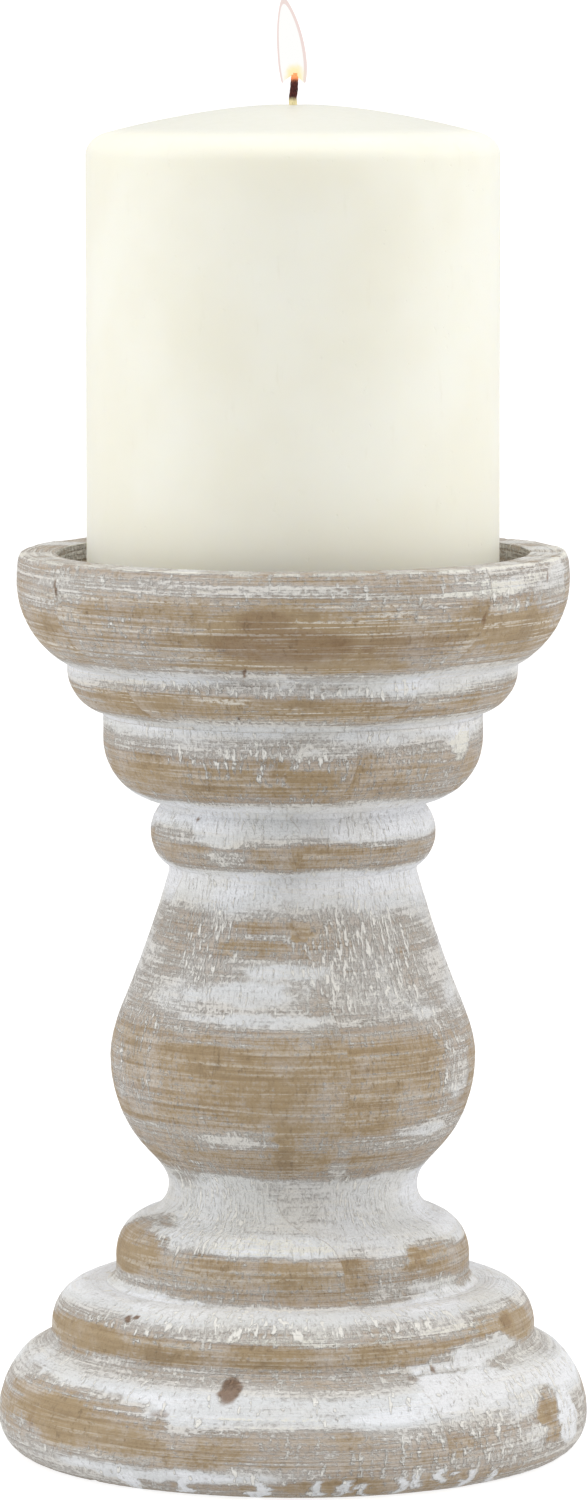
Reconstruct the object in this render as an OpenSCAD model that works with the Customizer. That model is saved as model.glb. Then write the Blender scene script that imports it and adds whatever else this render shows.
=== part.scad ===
// Turned wooden candlestick that holds one pillar candle.
// Millimetres, +Z up. The origin is the middle of the felt disc's underside.
// The wood is three turned sections, base, stem and cup, joined by round tenons
// and two wood screws. Each section is turned from three boards glued face to face.

/* [Base] */
// Widest diameter of the foot
foot_d = 100.8; // [98:0.2:104]
// Height of the foot's widest point
foot_z = 5.8; // [5:0.1:6.4]
// Radius of the foot's upper curve
foot_round = 15; // [14:0.5:17]
// Diameter of the step above the foot
step_d = 82.6; // [80:0.2:84]
// Height of the centre of the step's rounded edge
step_z = 21.4; // [21:0.1:22]
// Radius of the step's rounded edge
step_round = 7.2; // [7:0.1:7.6]

/* [Stem] */
// Diameter of the roll at the stem's lower end
collar_d = 60.4; // [58:0.2:61]
// Height of the middle of that roll
collar_z = 33.5; // [33:0.1:34]
// Radius of that roll's upper curve
collar_round = 7.1; // [6.8:0.1:7.4]
// Diameter of the narrow neck above it
neck_d = 42.3; // [40:0.1:44]
// Height of the neck
neck_z = 45.3; // [44.8:0.1:46]
// Widest diameter of the baluster
baluster_d = 62.3; // [60:0.1:64]
// Height of the baluster's widest point
baluster_z = 67.5; // [66:0.5:69]
// Diameter of the groove above the baluster
throat_d = 42; // [41:0.1:42.6]
// Height of that groove
throat_z = 99.4; // [99:0.1:99.8]
// Diameter of the small bead
bead_d = 48.5; // [48:0.1:49]
// Height of the small bead's middle
bead_z = 106; // [105.8:0.1:106.4]
// Radius of the small bead's curve
bead_round = 6.84; // [6.7:0.02:7]
// Diameter of the large bead at the stem's upper end
bell_d = 64.5; // [63:0.1:65]
// Height of the large bead's widest point
bell_z = 122; // [121.5:0.1:122.4]
// Radius of the large bead's lower curve
bell_round = 10.7; // [10.4:0.1:10.9]
// Height of the stem's top, on which the cup sits
stem_top = 126; // [125.6:0.1:126.4]

/* [Cup] */
// Diameter of the ring under the bowl
ring_d = 76.5; // [75:0.1:78]
// Height of that ring's widest point
ring_z = 134; // [133.8:0.1:134.4]
// Radius of that ring's lower curve
ring_round = 7.5; // [7.3:0.1:7.7]
// Widest diameter of the bowl
bowl_d = 93.8; // [92:0.2:96]
// Height of the bowl's widest point
bowl_z = 149; // [148.6:0.1:149.4]
// Radius of the bowl's lower curve
bowl_round = 15.8; // [15.6:0.1:16]
// Height of the rim
rim_z = 153.6; // [153:0.1:155]
// Diameter of the recess that holds the candle
recess_d = 80.4; // [78:0.2:82]
// Depth of that recess
recess_depth = 12; // [11:0.5:12.5]

/* [Joinery] */
// Diameter of the stem's two round tenons
tenon_d = 24; // [20:0.5:28]
// Length of the lower tenon
base_tenon = 17; // [14:0.5:18]
// Length of the upper tenon
cup_tenon = 9; // [7:0.5:9.5]
// Glue gap around a tenon
glue_gap = 0.1; // [0.05:0.05:0.3]
// Distance from the axis to the base's two glue lines
base_joint = 20.5; // [18:0.5:26]
// Distance from the axis to the stem's two glue lines
stem_joint = 18.7; // [16:0.1:20]
// Distance from the axis to the cup's two glue lines
cup_joint = 29.4; // [24:0.2:32]
// Direction that the base's and the stem's glue lines face, in degrees
stem_turn = -125; // [-180:5:180]
// Direction that the cup's glue lines face, in degrees
cup_turn = -97; // [-180:1:180]

/* [Hardware] */
// Outer diameter of the screws' thread
thread_d = 4; // [3.5:0.1:4.5]
// Diameter at the root of the thread
root_d = 2.9; // [2.4:0.1:3]
// Pitch of the thread
thread_pitch = 2; // [1.6:0.2:2.4]
// Length of the screw that holds the base
base_screw_l = 40; // [32:1:42]
// Length of the screw that holds the cup
cup_screw_l = 35; // [25:1:38]
// Diameter of both screw heads
head_d = 8; // [7.4:0.2:8.6]
// Diameter of the washer
washer_d = 12; // [10:0.5:13]
// Diameter of the felt disc
felt_d = 84; // [70:1:86]
// Thickness of the felt disc
felt_t = 1; // [0.8:0.1:1.2]

/* [Candle] */
// Diameter of the candle
candle_d = 70; // [60:1:70]
// Height of the candle's shoulder above its foot
shoulder_h = 79.2; // [50:0.2:100]
// Diameter of the wick
wick_d = 1.5; // [1.2:0.1:2]
// Length of wick above the wax
wick_out = 5.3; // [3:0.1:8]
// Lean of the burnt end of the wick, in degrees
wick_lean = 4; // [0:1:12]

/* [Hidden] */
$fn = 96;
// Chords on each curve of an outline
steps = 9;
// Half the width of the blocks that the boards are sliced with
reach = 60;
// The wood's underside clears the table by the felt that stands proud
wood_z = 0.2;
// The seat on which the stem stands is level with the top of the step's rounded edge
base_h = step_z + step_round;
// Floor of the candle's recess
floor_z = rim_z - recess_depth;
// Play at the end of each tenon
end_gap = 0.4;
// Ends of the two mortises
mortise_floor = base_h - base_tenon - end_gap;
cup_mortise_top = stem_top + cup_tenon + end_gap;
// Clearance hole for both screws
hole_d = thread_d + 0.4;
// Washer and pan head, sunk into the base
washer_t = 1;
pan_h = 2.6;
pan_round = 1.4;
counterbore_top = 5.6;
counterbore_d = 14;
base_screw_tip = counterbore_top - washer_t + base_screw_l;
// Countersunk head, just below the candle's floor
csk_h = 2.4;
csk_top = floor_z - 0.3;
csk_play = 0.2;
cup_screw_tip = csk_top - cup_screw_l;
// Levels of the candle: foot, end of the straight side, edge of the crown, and top
candle_z = floor_z;
shoulder_z = candle_z + shoulder_h;
crown_z = shoulder_z + 3.7;
candle_top = crown_z + 4.7;
// Width of the candle's rounded shoulder
crown_r = 3.4;
// Wick tab, in a hollow in the candle's foot
tab_d = 15;
tab_t = 0.4;
tab_z = candle_z + 0.2;
tab_neck_d = 3;
tab_neck_h = 3;
wick_z = tab_z + tab_t;
// Colours
brown = [0.67, 0.58, 0.49];
lime = [0.86, 0.86, 0.84];
steel = [0.72, 0.71, 0.68];

// Points along a round or oval arc about c, from angle a to angle b
function arc(c, rx, ry, a, b) =
    [for (i = [0:steps]) c + [rx * cos(a + (b - a) * i / steps), ry * sin(a + (b - a) * i / steps)]];

// Points along a cubic curve from p to s, steered by q and r
function bend(p, q, r, s) =
    [for (i = [0:steps]) let (t = i / steps, u = 1 - t)
        u * u * u * p + 3 * u * u * t * q + 3 * u * t * t * r + t * t * t * s];

// Outline of the base: foot, cove and step
function base_outline() =
    let (lip = 5.4, drop = 6, foot_end = 44,
         foot_c = [foot_d / 2 - foot_round, foot_z],
         top = foot_c + foot_round * [cos(foot_end), sin(foot_end)],
         wall = step_d / 2,
         cove = [wall, step_z - 1.4])
    concat(
        [[0, wood_z]],
        arc([foot_d / 2 - lip, foot_z], lip, drop, -asin((foot_z - wood_z) / drop), 0),
        arc(foot_c, foot_round, foot_round, 0, foot_end),
        bend(top, top + [-1.4, 1.45], cove + [0.1, -1.6], cove),
        arc([wall - step_round, step_z], step_round, step_round, 0, 90),
        [[0, base_h]]);

// Outline of the stem: collar, neck, baluster, small bead and large bead
function stem_outline() =
    let (collar = collar_d / 2, neck = neck_d / 2, belly = baluster_d / 2,
         throat = throat_d / 2, bell = bell_d / 2,
         flare = 2.3, lip = 0.2, flare_h = 2.4,
         edge_a = 75,
         collar_c = [collar - collar_round, collar_z],
         edge = collar_c + collar_round * [cos(edge_a), sin(edge_a)],
         flank = [belly - 5.54, neck_z + 7.1],
         cheek = [belly - 3.24, baluster_z + 11.5],
         bevel = 0.3)
    concat(
        [[0, base_h], [collar + flare, base_h]],
        bend([collar + flare, base_h + lip], [collar + 0.9, base_h + 0.3],
             [collar, base_h + 1], [collar, base_h + flare_h]),
        arc(collar_c, collar_round, collar_round, 0, edge_a),
        bend(edge, edge + [-1.74, 0.49], [neck, neck_z - 2.7], [neck, neck_z]),
        bend([neck, neck_z], [neck, neck_z + 2.9], flank - [2, 2.2], flank),
        bend(flank, flank + [2.2, 2.4], [belly, baluster_z - 7.5], [belly, baluster_z]),
        bend([belly, baluster_z], [belly, baluster_z + 4.1], cheek + [1.5, -3.8], cheek),
        bend(cheek, cheek + [-2.5, 6.3], [throat + 1.6, throat_z - 6.2], [throat, throat_z]),
        arc([bead_d / 2 - bead_round, bead_z], bead_round, bead_round, -58, 41),
        arc([bell - bell_round, bell_z], bell_round, bell_round, -83, 0),
        [[bell, stem_top - bevel], [bell - bevel, stem_top], [0, stem_top]]);

// Outline of the cup: ring and bowl, with the candle's recess
function cup_outline() =
    let (ring = ring_d / 2, bowl = bowl_d / 2, wall = recess_d / 2,
         seat = 1.3, ring_end = ring_z + 0.9, bevel = 0.4,
         rim_round = 1, recess_bevel = 0.5)
    concat(
        [[0, stem_top], [ring - ring_round + seat, stem_top]],
        arc([ring - ring_round, ring_z], ring_round, ring_round, -78, 0),
        [[ring, ring_end], [ring - bevel, ring_end + bevel]],
        arc([bowl - bowl_round, bowl_z], bowl_round, bowl_round, -61, 0),
        bend([bowl, bowl_z], [bowl, bowl_z + 2], [bowl - 0.2, rim_z], [bowl - rim_round, rim_z]),
        [[wall + recess_bevel, rim_z], [wall, rim_z - recess_bevel], [wall, floor_z], [0, floor_z]]);

// Outline of the candle: straight side, soft shoulder and shallow crown
function wax_outline() =
    let (r = candle_d / 2, foot = 0.6, crown = r - crown_r)
    concat(
        [[0, candle_z], [r - foot, candle_z], [r, candle_z + foot]],
        bend([r, shoulder_z], [r, shoulder_z + 1.8], [r - 1.6, crown_z - 0.5], [crown, crown_z]),
        bend([crown, crown_z], [crown * 0.7, crown_z + 2.5], [crown * 0.32, candle_top],
             [0, candle_top]));

// The slice of its children between two planes that face the given direction
module board(turn, low, high) {
    intersection() {
        children();
        rotate([0, 0, turn])
            translate([low, -reach, -1])
                cube([high - low, 2 * reach, rim_z + 2]);
    }
}

// The middle board of a section, which holds the joints
module middle_board(turn, joint) {
    board(turn, -joint, joint)
        children();
}

// An outer board, on the side that the direction points to, or on the other
module outer_board(turn, joint, side) {
    board(turn, side > 0 ? joint : -reach, side > 0 ? reach : -joint)
        children();
}

// The turned base, with the stem's mortise, the screw's holes and the felt's hollow
module base_turning() {
    color(brown)
        difference() {
            rotate_extrude()
                polygon(base_outline());
            translate([0, 0, mortise_floor])
                cylinder(h = base_tenon + end_gap + 1, d = tenon_d + 2 * glue_gap);
            translate([0, 0, -1])
                cylinder(h = mortise_floor + 2, d = hole_d);
            translate([0, 0, -1])
                cylinder(h = counterbore_top + 1, d = counterbore_d);
            translate([0, 0, -1])
                cylinder(h = felt_t + 1, d = felt_d + 2 * glue_gap);
        }
}

// The turned stem, with its tenons and the screws' pilot holes
module stem_turning() {
    color(lime)
        difference() {
            union() {
                rotate_extrude()
                    polygon(stem_outline());
                translate([0, 0, base_h - base_tenon])
                    cylinder(h = base_tenon + 1, d = tenon_d);
                translate([0, 0, stem_top - 1])
                    cylinder(h = cup_tenon + 1, d = tenon_d);
            }
            translate([0, 0, base_h - base_tenon - 1])
                cylinder(h = base_screw_tip - base_h + base_tenon + 2, d = root_d);
            translate([0, 0, cup_screw_tip - 1])
                cylinder(h = stem_top + cup_tenon - cup_screw_tip + 2, d = root_d);
        }
}

// The turned cup, with its mortise and the screw's countersunk hole
module cup_turning() {
    color(brown)
        difference() {
            rotate_extrude()
                polygon(cup_outline());
            translate([0, 0, stem_top - 1])
                cylinder(h = cup_mortise_top - stem_top + 1, d = tenon_d + 2 * glue_gap);
            translate([0, 0, stem_top])
                cylinder(h = recess_depth + 8, d = hole_d);
            translate([0, 0, csk_top - csk_h])
                cylinder(h = csk_h, d1 = hole_d, d2 = head_d + csk_play);
            translate([0, 0, csk_top])
                cylinder(h = 1, d = head_d + csk_play);
        }
}

module base_centre_board() {
    middle_board(stem_turn, base_joint)
        base_turning();
}

module base_front_board() {
    outer_board(stem_turn, base_joint, 1)
        base_turning();
}

module base_rear_board() {
    outer_board(stem_turn, base_joint, -1)
        base_turning();
}

module stem_centre_board() {
    middle_board(stem_turn, stem_joint)
        stem_turning();
}

module stem_front_board() {
    outer_board(stem_turn, stem_joint, 1)
        stem_turning();
}

module stem_rear_board() {
    outer_board(stem_turn, stem_joint, -1)
        stem_turning();
}

module cup_centre_board() {
    middle_board(cup_turn, cup_joint)
        cup_turning();
}

module cup_front_board() {
    outer_board(cup_turn, cup_joint, 1)
        cup_turning();
}

module cup_rear_board() {
    outer_board(cup_turn, cup_joint, -1)
        cup_turning();
}

// The threaded shank of a wood screw, pointing up from z = 0, with ring-shaped threads
module screw_shank(length) {
    point = 5;
    plain = 8;
    turns = floor((length - plain - point) / thread_pitch);
    core = root_d / 2;
    crest = thread_d / 2;
    rotate_extrude()
        polygon(concat(
            [[0, 0], [core, 0]],
            [for (i = [0:turns - 1], k = [0:2])
                [k == 1 ? crest : core, plain + (i + k * 0.3) * thread_pitch]],
            [[core, length - point], [0, length]]));
}

// The cross recess that a screwdriver fits, sunk down from z = 0
module cross_recess() {
    depth = 1.5;
    arm = 4.4;
    slot = 0.9;
    for (a = [0, 90])
        rotate([0, 0, a])
            translate([-arm / 2, -slot / 2, -depth])
                cube([arm, slot, depth + 1]);
}

module base_screw() {
    color(steel)
        translate([0, 0, counterbore_top - washer_t])
            union() {
                screw_shank(base_screw_l);
                difference() {
                    translate([0, 0, -pan_h])
                        rotate_extrude()
                            polygon(concat([[0, 0]],
                                arc([head_d / 2 - pan_round, pan_round], pan_round, pan_round, -90, 0),
                                [[head_d / 2, pan_h], [0, pan_h]]));
                    translate([0, 0, -pan_h])
                        mirror([0, 0, 1])
                            cross_recess();
                }
            }
}

module base_washer() {
    color(steel)
        translate([0, 0, counterbore_top - washer_t])
            difference() {
                cylinder(h = washer_t, d = washer_d);
                translate([0, 0, -1])
                    cylinder(h = washer_t + 2, d = hole_d);
            }
}

module cup_screw() {
    color(steel)
        translate([0, 0, csk_top])
            union() {
                mirror([0, 0, 1])
                    screw_shank(cup_screw_l);
                difference() {
                    translate([0, 0, -csk_h])
                        cylinder(h = csk_h, d1 = root_d, d2 = head_d);
                    cross_recess();
                }
            }
}

module felt_disc() {
    color([0.30, 0.24, 0.19])
        cylinder(h = felt_t, d = felt_d);
}

module candle_wax() {
    color([0.94, 0.94, 0.90])
        difference() {
            rotate_extrude()
                polygon(wax_outline());
            translate([0, 0, candle_z - 1])
                cylinder(h = candle_top - candle_z + 2, d = wick_d);
            translate([0, 0, candle_z - 1])
                cylinder(h = tab_z + tab_t - candle_z + 1, d = tab_d);
            translate([0, 0, candle_z - 1])
                cylinder(h = tab_z + tab_t + tab_neck_h - candle_z + 1, d = tab_neck_d);
        }
}

module candle_wick() {
    straight = 1;
    sunk = 0.6;
    char_d = wick_d * 0.85;
    color([0.20, 0.11, 0.07])
        union() {
            translate([0, 0, wick_z])
                cylinder(h = candle_top + straight - wick_z, d = wick_d);
            translate([0, 0, candle_top + straight - sunk])
                rotate([0, wick_lean, 0])
                    cylinder(h = wick_out - straight + sunk, d = char_d);
        }
}

// The metal tab that grips the foot of the wick
module wick_tab() {
    color(steel)
        difference() {
            union() {
                translate([0, 0, tab_z])
                    cylinder(h = tab_t, d = tab_d);
                translate([0, 0, tab_z + tab_t])
                    cylinder(h = tab_neck_h, d = tab_neck_d);
            }
            translate([0, 0, tab_z + tab_t])
                cylinder(h = tab_neck_h + 1, d = wick_d);
        }
}

base_centre_board();
base_front_board();
base_rear_board();
stem_centre_board();
stem_front_board();
stem_rear_board();
cup_centre_board();
cup_front_board();
cup_rear_board();
base_screw();
base_washer();
cup_screw();
felt_disc();
candle_wax();
candle_wick();
wick_tab();
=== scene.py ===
"""The looks of a turned, whitewashed wooden candlestick with a pillar candle.

Outlines are in millimetres, as in the CAD source, and meshes are in metres.
Each wooden section is turned as one closed mesh and then sawn along its glue lines into boards.
"""
import math

import bmesh
import bpy
import numpy as np
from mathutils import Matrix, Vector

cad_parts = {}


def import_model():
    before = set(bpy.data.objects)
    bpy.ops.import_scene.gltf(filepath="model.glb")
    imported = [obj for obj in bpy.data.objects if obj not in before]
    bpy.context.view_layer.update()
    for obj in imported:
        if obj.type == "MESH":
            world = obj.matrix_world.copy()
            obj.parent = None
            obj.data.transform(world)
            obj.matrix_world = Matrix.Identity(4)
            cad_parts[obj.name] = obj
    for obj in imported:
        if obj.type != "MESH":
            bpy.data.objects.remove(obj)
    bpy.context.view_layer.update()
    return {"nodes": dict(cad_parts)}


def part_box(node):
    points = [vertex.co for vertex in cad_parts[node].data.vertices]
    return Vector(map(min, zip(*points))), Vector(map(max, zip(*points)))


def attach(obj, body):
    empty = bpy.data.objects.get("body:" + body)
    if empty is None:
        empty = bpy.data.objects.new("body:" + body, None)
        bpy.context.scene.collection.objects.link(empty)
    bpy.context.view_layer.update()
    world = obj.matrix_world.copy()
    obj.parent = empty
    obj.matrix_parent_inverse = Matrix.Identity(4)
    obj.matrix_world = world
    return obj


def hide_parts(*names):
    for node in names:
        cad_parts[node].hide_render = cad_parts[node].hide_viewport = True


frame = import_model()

MM = 0.001
FINE = 0.42  # spacing of the visible wood's mesh, in mm
COARSE = 4.0  # spacing on hidden faces, in mm
CURVE_POINTS = 6  # a run with more points than this is a curve, which has no corners to keep
CORNER = math.radians(42)  # edges that bend more than this stay sharp


# ---------------------------------------------------------------- outlines

def arc(c, rx, ry, a, b, steps=40):
    """Points on a round or oval arc about c, from angle a to angle b in degrees."""
    t = np.radians(np.linspace(a, b, steps + 1))
    return np.stack([c[0] + rx * np.cos(t), c[1] + ry * np.sin(t)], 1)


def bend(p, q, r, s, steps=40):
    """Points on a cubic curve from p to s, steered by q and r."""
    t = np.linspace(0, 1, steps + 1)[:, None]
    p, q, r, s = (np.array(v, float) for v in (p, q, r, s))
    return (1 - t) ** 3 * p + 3 * (1 - t) ** 2 * t * q + 3 * (1 - t) * t ** 2 * r + t ** 3 * s


def line(*points):
    """A straight run through points."""
    return np.array(points, float)


def spaced(run, step):
    """The run's points, spaced evenly along it. Straight pieces keep their corners."""
    gaps = np.hypot(*np.diff(run, axis=0).T)
    length = np.concatenate([[0], np.cumsum(gaps)])
    count = max(1, round(length[-1] / step))
    at = np.linspace(0, length[-1], count + 1)
    return np.stack([np.interp(at, length, run[:, i]) for i in (0, 1)], 1)


def outline(runs):
    """Joins (points, spacing) runs into one line. Returns the points and whether each is in sight."""
    points, seen = [], []
    for run, step in runs:
        pieces = [spaced(run, step)] if len(run) > CURVE_POINTS else [
            spaced(run[i:i + 2], step) for i in range(len(run) - 1)]
        for piece in pieces:
            if points and np.allclose(points[-1], piece[0], atol=1e-6):
                piece = piece[1:]
            points.extend(piece)
            seen.extend([step < COARSE] * len(piece))
    return np.array(points), np.array(seen)


# Driving sizes of the turning, in mm, as in the CAD source
WOOD_Z = 0.2  # the base's underside
BASE_H = 28.6  # where the stem stands on the base
STEM_TOP = 126.0  # where the cup sits on the stem
RIM_Z = 153.6
FLOOR_Z = 141.6  # the recess's floor, on which the candle stands
TENON_R, MORTISE_R = 12.0, 12.1
PILOT_R, HOLE_R = 1.45, 2.2  # the screws' holes in the stem, and in the base and the cup
FELT_R, FELT_T = 42.0, 1.0
WAX_R = 35.0
SEAT_R = 32.2  # the seats of the stem and the cup are hidden out to here
STEM_TURN, CUP_TURN = -125, -97  # the directions that the glue lines face, in degrees
BASE_JOINT, STEM_JOINT, CUP_JOINT = 20.5, 18.7, 29.4  # from the axis to the glue lines
PAINTED_IN = 0.15  # how far a section stands in the one below, so that paint bridges the seam
WAX_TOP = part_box("candle_wax")[1].z / MM
WICK_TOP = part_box("candle_wick")[1].z / MM


def base_outline():
    """The base from its mortise over the step and the foot to the felt's hollow, as a closed loop."""
    foot, foot_z, foot_round, foot_end = 50.4, 5.8, 15, 44
    lip, drop = 5.4, 6
    wall, cove, step_z, step_round = 41.3, 20.0, 21.4, 7.2
    hollow = FELT_R + 0.1
    counterbore, head_z, mortise_floor = 7, 5.6, 11.2
    top = np.array([foot - foot_round + foot_round * math.cos(math.radians(foot_end)),
                    foot_z + foot_round * math.sin(math.radians(foot_end))])
    start = -math.degrees(math.asin((foot_z - WOOD_Z) / drop))
    edge = foot - lip + lip * math.cos(math.radians(start))
    under = line((HOLE_R, head_z), (counterbore, head_z), (counterbore, FELT_T), (hollow, FELT_T),
                 (hollow, WOOD_Z))
    inside = line((MORTISE_R, BASE_H), (MORTISE_R, mortise_floor), (HOLE_R, mortise_floor), (HOLE_R, head_z))
    return outline([
        (under, COARSE),
        (line((hollow, WOOD_Z), (edge, WOOD_Z)), FINE),
        (arc((foot - lip, foot_z), lip, drop, start, 0), FINE),
        (arc((foot - foot_round, foot_z), foot_round, foot_round, 0, foot_end), FINE),
        (bend(top, top + (-1.4, 1.45), (wall + 0.1, cove - 1.6), (wall, cove)), FINE),
        (line((wall, cove), (wall, step_z)), FINE),
        (arc((wall - step_round, step_z), step_round, step_round, 0, 90), FINE),
        (line((wall - step_round, BASE_H), (SEAT_R, BASE_H)), FINE),
        (line((SEAT_R, BASE_H), (MORTISE_R, BASE_H)), COARSE),
        (inside, COARSE)])


def stem_outline():
    """The stem from its lower pilot hole up to its upper one, both ends on the axis."""
    collar, collar_z, collar_round, collar_end = 30.2, 33.5, 7.1, 75
    neck, neck_z = 21.15, 45.3
    belly, belly_z = 31.15, 67.5
    throat, throat_z = 21.0, 99.4
    bead, bead_z, bead_round = 24.25, 106, 6.84
    bell, bell_z, bell_round = 32.25, 122, 10.7
    tenon_low, tenon_high = BASE_H - 17, STEM_TOP + 9
    pilot_low, pilot_high = 45.6, 105.3
    foot = BASE_H - PAINTED_IN
    flare, flare_z = collar + 2.3, BASE_H + 2.4
    edge_a = math.radians(collar_end)
    edge = np.array([collar - collar_round + collar_round * math.cos(edge_a),
                     collar_z + collar_round * math.sin(edge_a)])
    flank = np.array([belly - 5.54, 52.4])
    cheek = np.array([belly - 3.24, 79.0])
    return outline([
        (line((0, pilot_low), (PILOT_R, pilot_low), (PILOT_R, tenon_low), (TENON_R, tenon_low),
              (TENON_R, foot), (flare, foot)), COARSE),
        (bend((flare, foot), (collar + 0.9, BASE_H), (collar, BASE_H + 1), (collar, flare_z)), FINE),
        (line((collar, flare_z), (collar, collar_z)), FINE),
        (arc((collar - collar_round, collar_z), collar_round, collar_round, 0, collar_end), FINE),
        (bend(edge, edge + (-1.74, 0.49), (neck, 42.6), (neck, neck_z)), FINE),
        (bend((neck, neck_z), (neck, 48.2), flank - (2, 2.2), flank), FINE),
        (bend(flank, flank + (2.2, 2.4), (belly, 60), (belly, belly_z)), FINE),
        (bend((belly, belly_z), (belly, 71.6), cheek + (1.5, -3.8), cheek), FINE),
        (bend(cheek, cheek + (-2.5, 6.3), (throat + 1.6, 93.2), (throat, throat_z)), FINE),
        (arc((bead - bead_round, bead_z), bead_round, bead_round, -58, 41), FINE),
        (arc((bell - bell_round, bell_z), bell_round, bell_round, -83, 0), FINE),
        (line((bell, bell_z), (bell, STEM_TOP)), FINE),
        (line((bell, STEM_TOP), (TENON_R, STEM_TOP), (TENON_R, tenon_high), (PILOT_R, tenon_high),
              (PILOT_R, pilot_high), (0, pilot_high)), COARSE)])


def cup_outline():
    """The cup from its mortise over ring, bowl and rim to the recess and screw hole, as a closed loop."""
    ring, ring_z, ring_round, ring_start, ring_end = 38.25, 134, 7.5, 66, 134.8
    bowl, bowl_z, bowl_round, bowl_start = 46.9, 149, 15.8, 61
    wall, wall_edge = 40.2, 0.5
    rim_fine, floor_fine = 0.28, 1.2
    mortise_top, head, head_z, shank_z = 135.4, 4.1, 141.3, 138.9
    seat, edge_z = STEM_TOP - PAINTED_IN, STEM_TOP + 0.3
    crease = (bowl - bowl_round + bowl_round * math.cos(math.radians(bowl_start)),
              bowl_z - bowl_round * math.sin(math.radians(bowl_start)))
    under = np.array([ring - ring_round + ring_round * math.cos(math.radians(ring_start)),
                      ring_z - ring_round * math.sin(math.radians(ring_start))])
    return outline([
        (line((HOLE_R, mortise_top), (MORTISE_R, mortise_top), (MORTISE_R, seat), (SEAT_R, seat)), COARSE),
        (line((SEAT_R, seat), (SEAT_R, edge_z)), FINE),
        (bend((SEAT_R, edge_z), (32.3, STEM_TOP + 0.9), under - (0.9, 0.2), under), FINE),
        (arc((ring - ring_round, ring_z), ring_round, ring_round, -ring_start, 0), FINE),
        (line((ring, ring_z), (ring, ring_end), crease), FINE),
        (arc((bowl - bowl_round, bowl_z), bowl_round, bowl_round, -bowl_start, 0), FINE),
        (bend((bowl, bowl_z), (bowl, 151), (bowl - 0.2, RIM_Z), (bowl - 1, RIM_Z)), rim_fine),
        (line((bowl - 1, RIM_Z), (wall + wall_edge, RIM_Z)), FINE),
        (arc((wall + wall_edge, RIM_Z - wall_edge), wall_edge, wall_edge, 90, 180, 8), FINE),
        (line((wall, RIM_Z - wall_edge), (wall, FLOOR_Z)), FINE),
        (line((wall, FLOOR_Z), (head, FLOOR_Z)), floor_fine),
        (line((head, FLOOR_Z), (head, head_z), (HOLE_R, shank_z), (HOLE_R, mortise_top)), COARSE)])


# ---------------------------------------------------------------- noise on a turned surface

def lattice(angle, run, arc_deg, run_mm, seed):
    """Smooth noise from 0 to 1 over (angle in degrees, mm along the outline), closed round the turn."""
    across = max(3, round(360 / arc_deg))
    v = np.abs(run) / run_mm
    cells = np.random.default_rng(seed).random((int(v.max()) + 3, across))
    u = (angle % 360) / 360 * across
    iu, iv = np.floor(u).astype(int), np.floor(v).astype(int)
    fu, fv = u - iu, v - iv
    fu, fv = fu * fu * (3 - 2 * fu), fv * fv * (3 - 2 * fv)
    iu, ju = iu % across, (iu + 1) % across
    low = cells[iv, iu] * (1 - fu) + cells[iv, ju] * fu
    high = cells[iv + 1, iu] * (1 - fu) + cells[iv + 1, ju] * fu
    return low * (1 - fv) + high * fv


def cloud(angle, run, arc_deg, run_mm, seed, octaves=3):
    """Several sizes of lattice noise added up, from about -1 to 1 about 0."""
    fade, seed_step = 0.55, 17
    total, share = 0, 0
    for i in range(octaves):
        weight = fade ** i
        layer = lattice(angle, run, arc_deg / 2 ** i, run_mm / 2 ** i, seed + seed_step * i)
        total = total + weight * (layer * 2 - 1)
        share += weight
    return total / share


def near(angle, height, at, z, half_deg, half_mm):
    """1 at a spot on the turning, falling softly to 0 at its oval edge."""
    da = (angle - at + 180) % 360 - 180
    d = np.sqrt((da / half_deg) ** 2 + ((height - z) / half_mm) ** 2)
    return np.clip(1.25 - d, 0, 0.5) * 2


# ---------------------------------------------------------------- turned meshes

AVERAGED = 11  # points of an outline that share an averaged normal


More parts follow.
